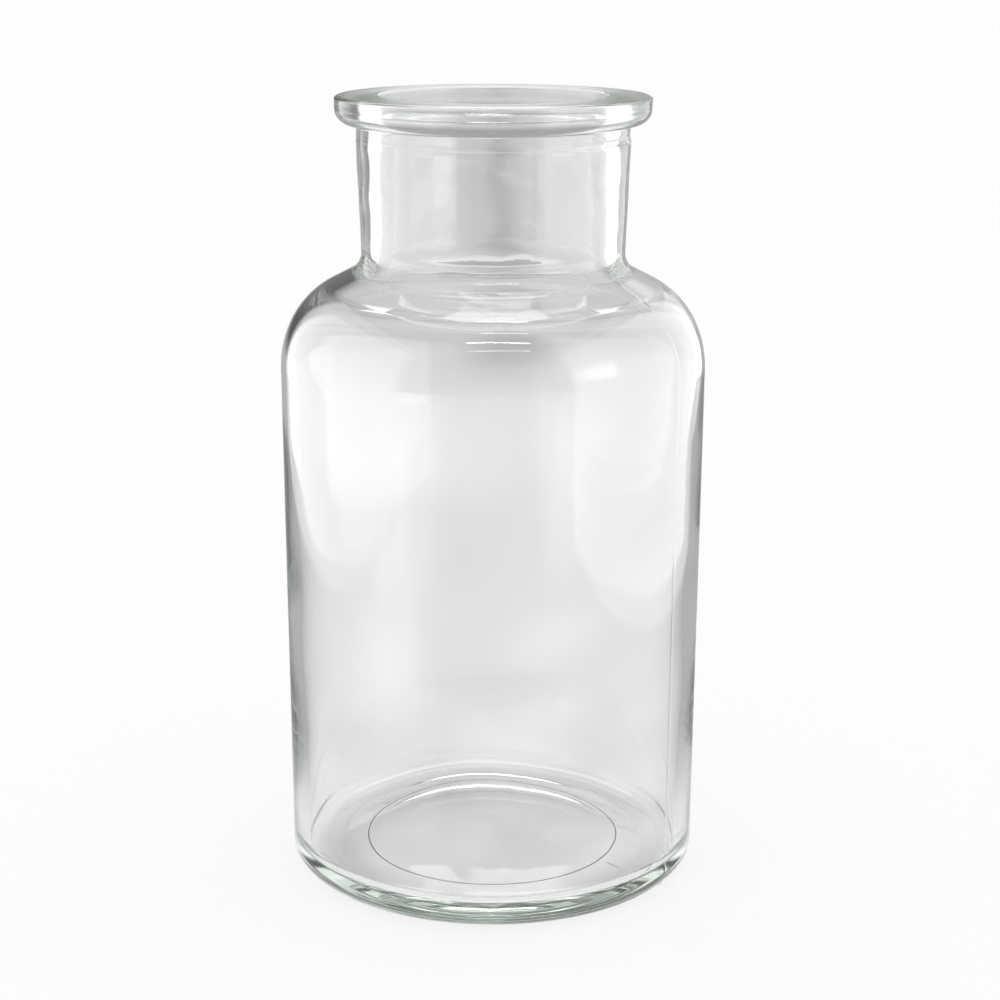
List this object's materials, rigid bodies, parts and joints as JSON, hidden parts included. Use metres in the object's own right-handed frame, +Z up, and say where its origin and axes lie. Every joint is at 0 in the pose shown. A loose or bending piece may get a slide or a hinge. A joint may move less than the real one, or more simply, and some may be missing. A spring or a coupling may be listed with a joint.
{
  "type": "gas jar",
  "caption": "Clear glass jar for collecting gases: straight body with a rounded heel, sloping shoulder, wide neck and a flanged rim ground flat for a cover plate.",
  "frame": {"origin": "centre of the base, on the surface that the jar stands on", "axes": "+Z up along the jar's axis, from the base to the mouth; the jar is round, so +X and +Y are free"},
  "size_m": [0.0724, 0.0724, 0.135],
  "materials": {
    "glass": "clear soda-lime glass with a faint green tint, glossy, with the top of the rim ground to a fine matt"
  },
  "bodies": {
    "root": {"jar": "glass"}
  },
  "joints": []
}
